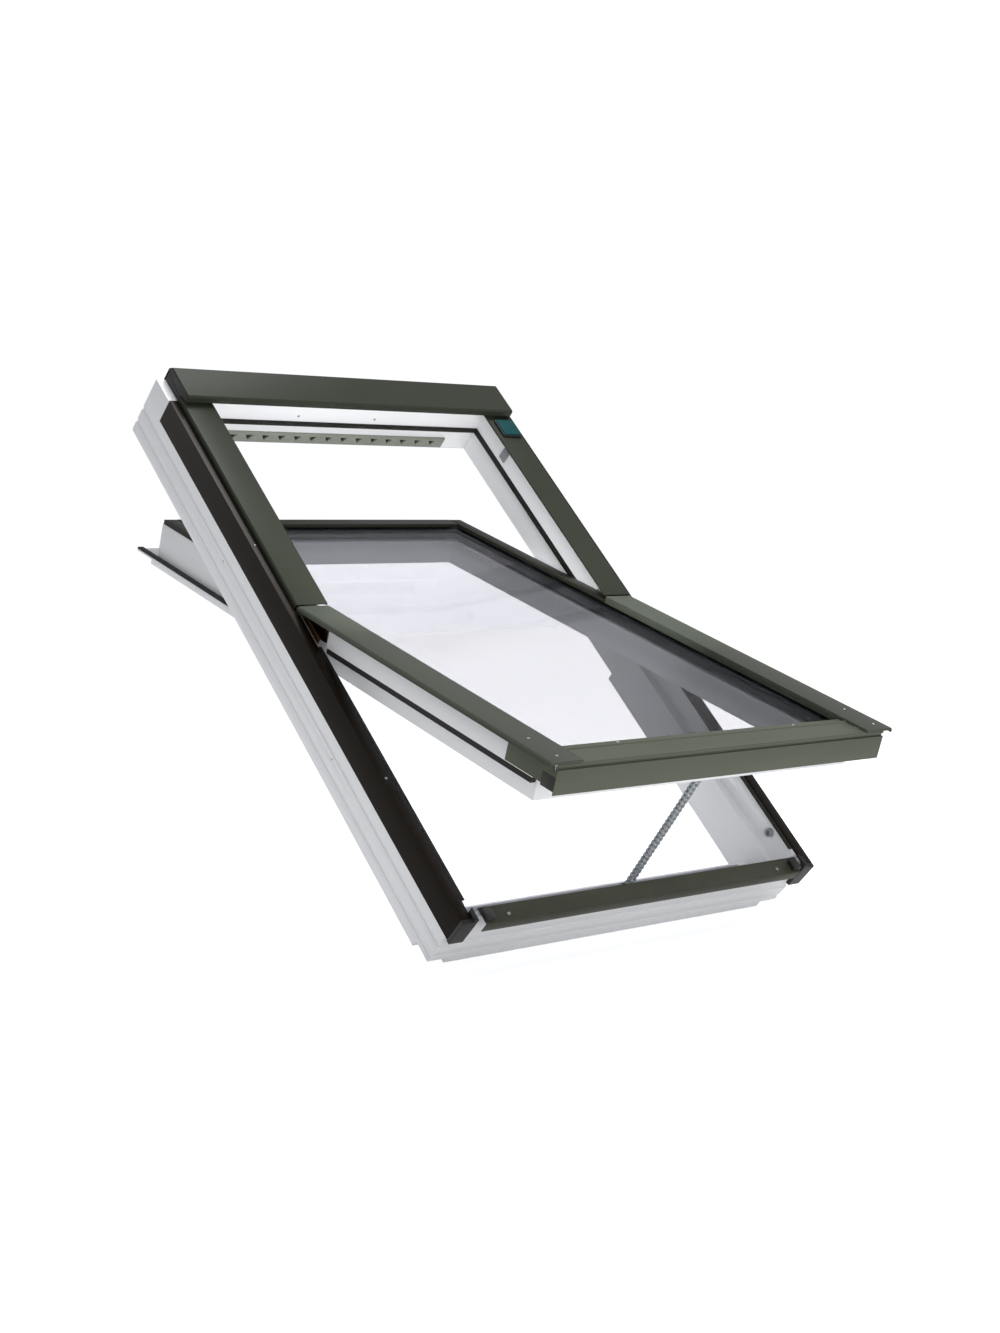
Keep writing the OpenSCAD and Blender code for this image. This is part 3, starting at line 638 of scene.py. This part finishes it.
# %% Set the screws
def discs(node):
    """The middle and size, in drawn directions, of each separate solid of a node."""
    shape = bmesh.new()
    shape.from_mesh(nodes[node].data)
    bmesh.ops.remove_doubles(shape, verts=shape.verts, dist=0.01 * MM)
    back = drawn_turn(node).inverted()
    left, found = set(shape.verts), []
    while left:
        group, edge_of = set(), [left.pop()]
        while edge_of:
            vertex = edge_of.pop()
            group.add(vertex)
            for link in vertex.link_edges:
                other = link.other_vert(vertex)
                if other in left:
                    left.discard(other)
                    edge_of.append(other)
        places = [back @ vertex.co for vertex in group]
        low = Vector(min(p[i] for p in places) for i in range(3))
        high = Vector(max(p[i] for p in places) for i in range(3))
        found.append(((low + high) / 2, high - low))
    shape.free()
    return found


def joined(name, pieces):
    """One piece made of several."""
    shape = bmesh.new()
    for piece in pieces:
        shape.from_mesh(piece.data)
        bpy.data.objects.remove(piece)
    mesh = bpy.data.meshes.new(name)
    shape.to_mesh(mesh)
    shape.free()
    whole = bpy.data.objects.new(name, mesh)
    bpy.context.scene.collection.objects.link(whole)
    return whole


def set_screws(node, inward):
    """Screw heads in place of a node's discs. inward gives the way a disc on each axis faces."""
    heads = []
    for middle, size in discs(node):
        axis = min(range(3), key=lambda i: size[i])
        facing = inward(axis, middle)
        radius, height = max(size) / 2, size[axis]
        values = {"Radius": radius, "Height": height, "Facing": facing, "Finish": screw_steel}
        foot = middle - Vector(facing) * height / 2
        heads.append(grow(screw_tree, "head", [foot], values, drawn_turn(node)))
    return joined(node + "_cross_heads", heads)


def faces_out(axis, middle):
    if axis == 0:
        return (-math.copysign(1, middle.x), 0, 0)
    return (0, -1, 0) if axis == 1 else (0, 0, 1)


for node in ("frame_screws", "sash_screws"):
    finished(set_screws(node, faces_out), body_of(node), screw_steel, "zinc_steel", node)

# %% [markdown]
# ### Chain
# The opener pushes the sash with a chain that can bend one way only. It is a row of paired side plates on
# pins, and their backs butt together, so the pushed-out chain stands stiff with a toothed edge. As the
# sash shuts, the chain goes back into the drive. Here it is built once, pushed out to the open sash.

# %% Chain tree
chain_tree, chain_in = new_tree(
    "push chain",
    {
        "Links": "Int",
        "Pitch": "Float",
        "Width": "Float",
        "Depth": "Float",
        "Plate": "Float",
        "Finish": "Material",
    },
)
plate_length = add(chain_tree, "ShaderNodeMath", {0: chain_in["Pitch"], 1: 0.93}, operation="MULTIPLY")
outline = add(
    chain_tree,
    "GeometryNodeCurvePrimitiveQuadrilateral",
    {"Width": chain_in["Depth"], "Height": plate_length.outputs[0]},
)
corner = add(chain_tree, "ShaderNodeMath", {0: chain_in["Depth"], 1: 0.3}, operation="MULTIPLY")
soft_outline = add(chain_tree, "GeometryNodeFilletCurve", mode="POLY")
chain_tree.links.new(outline.outputs[0], soft_outline.inputs["Curve"])
chain_tree.links.new(corner.outputs[0], soft_outline.inputs["Radius"])
soft_outline.inputs["Count"].default_value = 3
face = add(chain_tree, "GeometryNodeFillCurve", {"Curve": soft_outline.outputs[0]})
wall = add(
    chain_tree,
    "GeometryNodeExtrudeMesh",
    {"Mesh": face.outputs[0], "Offset Scale": chain_in["Plate"], "Individual": False},
)
back_face = add(chain_tree, "GeometryNodeFlipFaces", {0: face.outputs[0]})
closed = add(chain_tree, "GeometryNodeJoinGeometry")
for part in (wall, back_face):
    chain_tree.links.new(part.outputs[0], closed.inputs[0])
plate = add(chain_tree, "GeometryNodeMergeByDistance", {0: closed.outputs[0], "Distance": 0.01 * MM})
# Each link has two plates, one at each side of the chain's width, and all of them are the same
half_width = add(chain_tree, "ShaderNodeMath", {0: chain_in["Width"], 1: 0.5}, operation="MULTIPLY")
near_side = add(
    chain_tree,
    "ShaderNodeMath",
    {0: half_width.outputs[0], 1: chain_in["Plate"]},
    operation="SUBTRACT",
)
far_side = add(chain_tree, "ShaderNodeMath", {0: half_width.outputs[0], 1: -1.0}, operation="MULTIPLY")
upright = (math.pi / 2, 0, math.pi / 2)
pair = add(chain_tree, "GeometryNodeJoinGeometry")
for edge_place in (near_side, far_side):
    offset = add(chain_tree, "ShaderNodeCombineXYZ", {0: edge_place.outputs[0]})
    stood = add(
        chain_tree,
        "GeometryNodeTransform",
        {"Geometry": plate.outputs[0], "Translation": offset.outputs[0], "Rotation": upright},
    )
    chain_tree.links.new(stood.outputs[0], pair.inputs[0])
roller_radius = add(chain_tree, "ShaderNodeMath", {0: chain_in["Depth"], 1: 0.3}, operation="MULTIPLY")
roller = add(
    chain_tree,
    "GeometryNodeMeshCylinder",
    {"Vertices": 10, "Radius": roller_radius.outputs[0], "Depth": chain_in["Width"]},
)
half_pitch = add(chain_tree, "ShaderNodeMath", {0: chain_in["Pitch"], 1: 0.5}, operation="MULTIPLY")
roller_place = add(chain_tree, "ShaderNodeCombineXYZ", {2: half_pitch.outputs[0]})
laid = add(
    chain_tree,
    "GeometryNodeTransform",
    {"Geometry": roller.outputs[0], "Translation": roller_place.outputs[0], "Rotation": (0, math.pi / 2, 0)},
)
chain_tree.links.new(laid.outputs[0], pair.inputs[0])
row_step = add(chain_tree, "ShaderNodeCombineXYZ", {2: chain_in["Pitch"]})
row = add(
    chain_tree,
    "GeometryNodeMeshLine",
    {"Count": chain_in["Links"], "Start Location": (0, 0, 0), "Offset": row_step.outputs[0]},
)
links_out = add(
    chain_tree,
    "GeometryNodeInstanceOnPoints",
    {"Points": row.outputs[0], "Instance": pair.outputs[0]},
)
end_tree(chain_tree, links_out.outputs[0], chain_in["Finish"])

# %% Push the chain out
outlet = Vector(joints["chain_swivel"]["pos_m"])
bracket_eye = sum(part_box("bracket_pin"), Vector()) / 2
run = bracket_eye - outlet
lean = math.atan2(-run.y, run.z)
in_chain = Matrix.Translation(outlet) @ Matrix.Rotation(lean, 4, "X")
chain_width, chain_depth = 12 * MM, 9 * MM
guide_height = 10 * MM
link_pitch_wanted = 9.5 * MM
link_count = round((run.length - guide_height) / link_pitch_wanted)
link_pitch = (run.length - guide_height) / link_count
chain_values = {
    "Links": link_count,
    "Pitch": link_pitch,
    "Width": chain_width,
    "Depth": chain_depth,
    "Plate": 1.6 * MM,
    "Finish": chain_steel,
}
chain_start = in_chain @ Matrix.Translation((0, 0, guide_height + link_pitch / 2))
links = grow(chain_tree, "chain_links", [(0, 0, 0)], chain_values, chain_start)
finished(links, "chain_arm", chain_steel, "zinc_steel", "chain")
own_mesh(links)
print("chain of", link_count, "links,", round(run.length, 3), "m pushed out")
